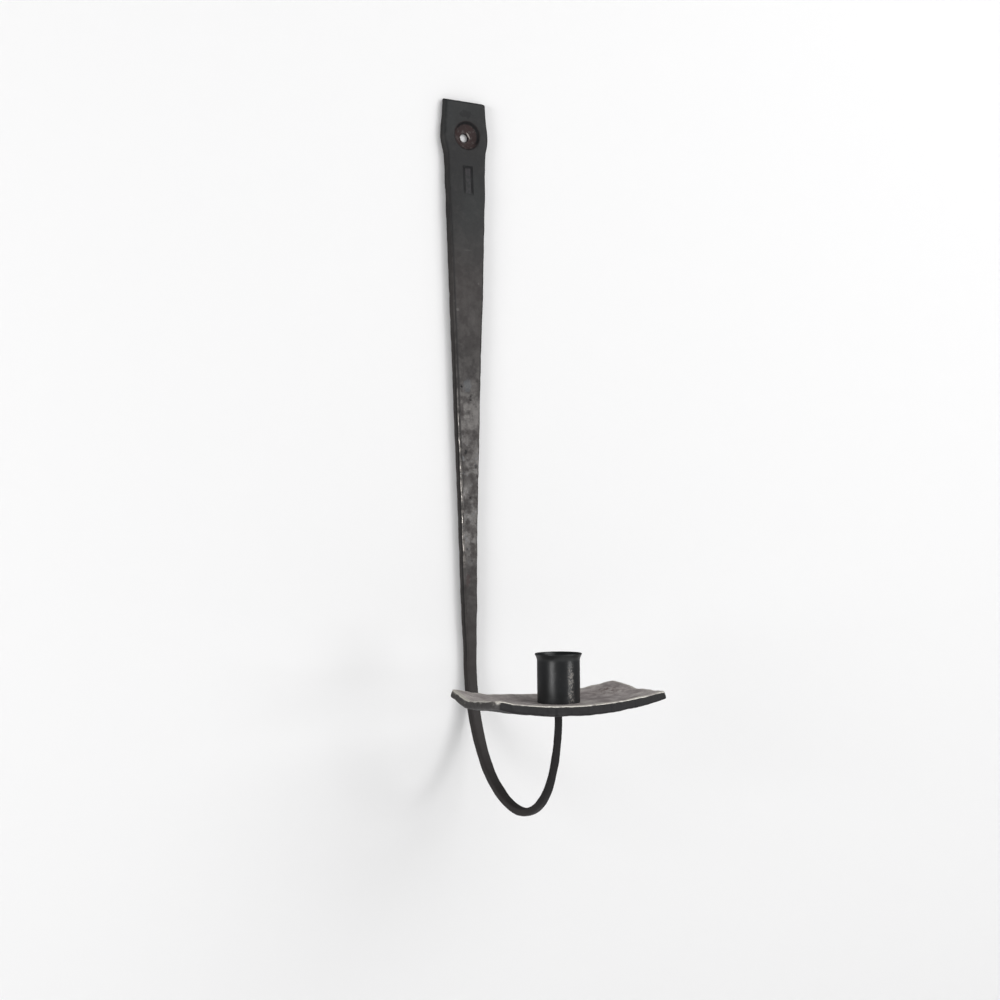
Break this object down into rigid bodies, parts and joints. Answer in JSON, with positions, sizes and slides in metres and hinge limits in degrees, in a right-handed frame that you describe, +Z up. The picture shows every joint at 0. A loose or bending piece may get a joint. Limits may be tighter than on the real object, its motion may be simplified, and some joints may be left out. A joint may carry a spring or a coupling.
{
  "type": "wall candle sconce",
  "caption": "Forged iron wall sconce: a long tapered bar with a dished hanging eye hooks forward and up and carries a dished drip pan with a flared candle cup.",
  "frame": {"origin": "middle of the hanging eye, on the plane of the wall behind the bar", "axes": "+Z up along the bar, -Y out from the wall along the hook, +X to the viewer's right"},
  "size_m": [0.11, 0.1425, 0.4473],
  "materials": {
    "bar_iron": "satin forge black, worn grey along the shin",
    "pan_iron": "hammered, brownish grey and worn bright along the edges",
    "cup_black": "glossy black"
  },
  "bodies": {
    "root": {"hook_bar": "bar_iron", "drip_pan": "pan_iron", "candle_cup": "cup_black"}
  },
  "joints": []
}
